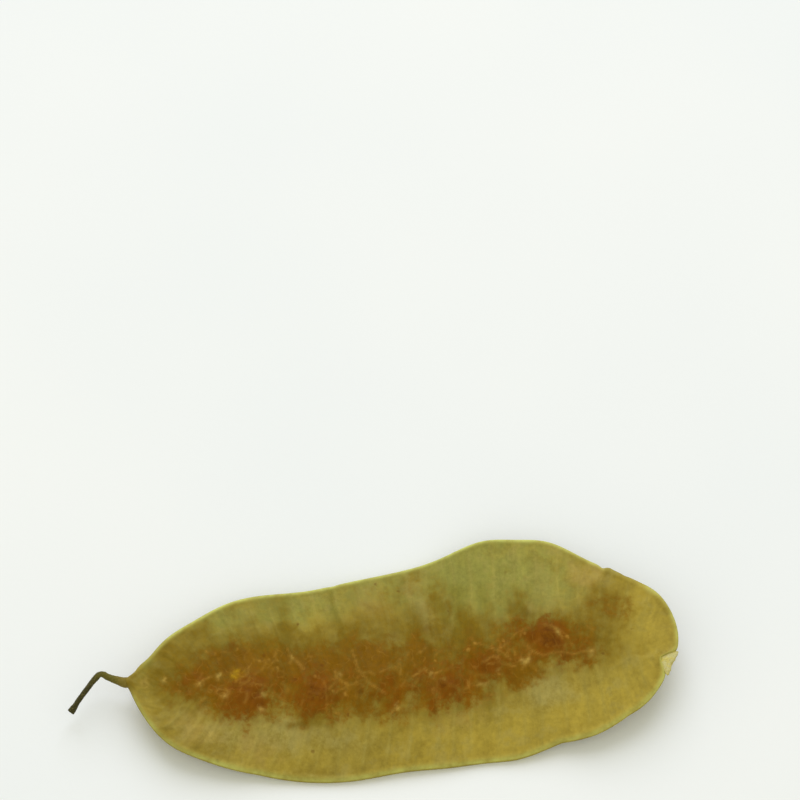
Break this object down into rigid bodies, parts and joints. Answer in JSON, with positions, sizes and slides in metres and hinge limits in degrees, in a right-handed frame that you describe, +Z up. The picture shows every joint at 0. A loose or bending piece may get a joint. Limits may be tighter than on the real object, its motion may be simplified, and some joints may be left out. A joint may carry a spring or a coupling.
{
  "type": "senna pod",
  "caption": "Dried flat seed pod lying on its side: thin arched blade with seed bulges, forked cross veins, a thread-like edge seam, a notched tip and a bent stalk.",
  "frame": {"origin": "centre of the box round pod and stalk, on the surface that the pod lies on", "axes": "+X along the pod from its stalk to its tip, +Y across it towards its more curved edge, +Z up"},
  "size_m": [0.056, 0.0224, 0.0041],
  "materials": {
    "pod": "dry leathery green to ochre skin, brown over the seeds, slightly satin",
    "stalk": "dry dark olive, matt"
  },
  "bodies": {
    "root": {"pod": "pod", "stalk": "stalk"}
  },
  "joints": []
}
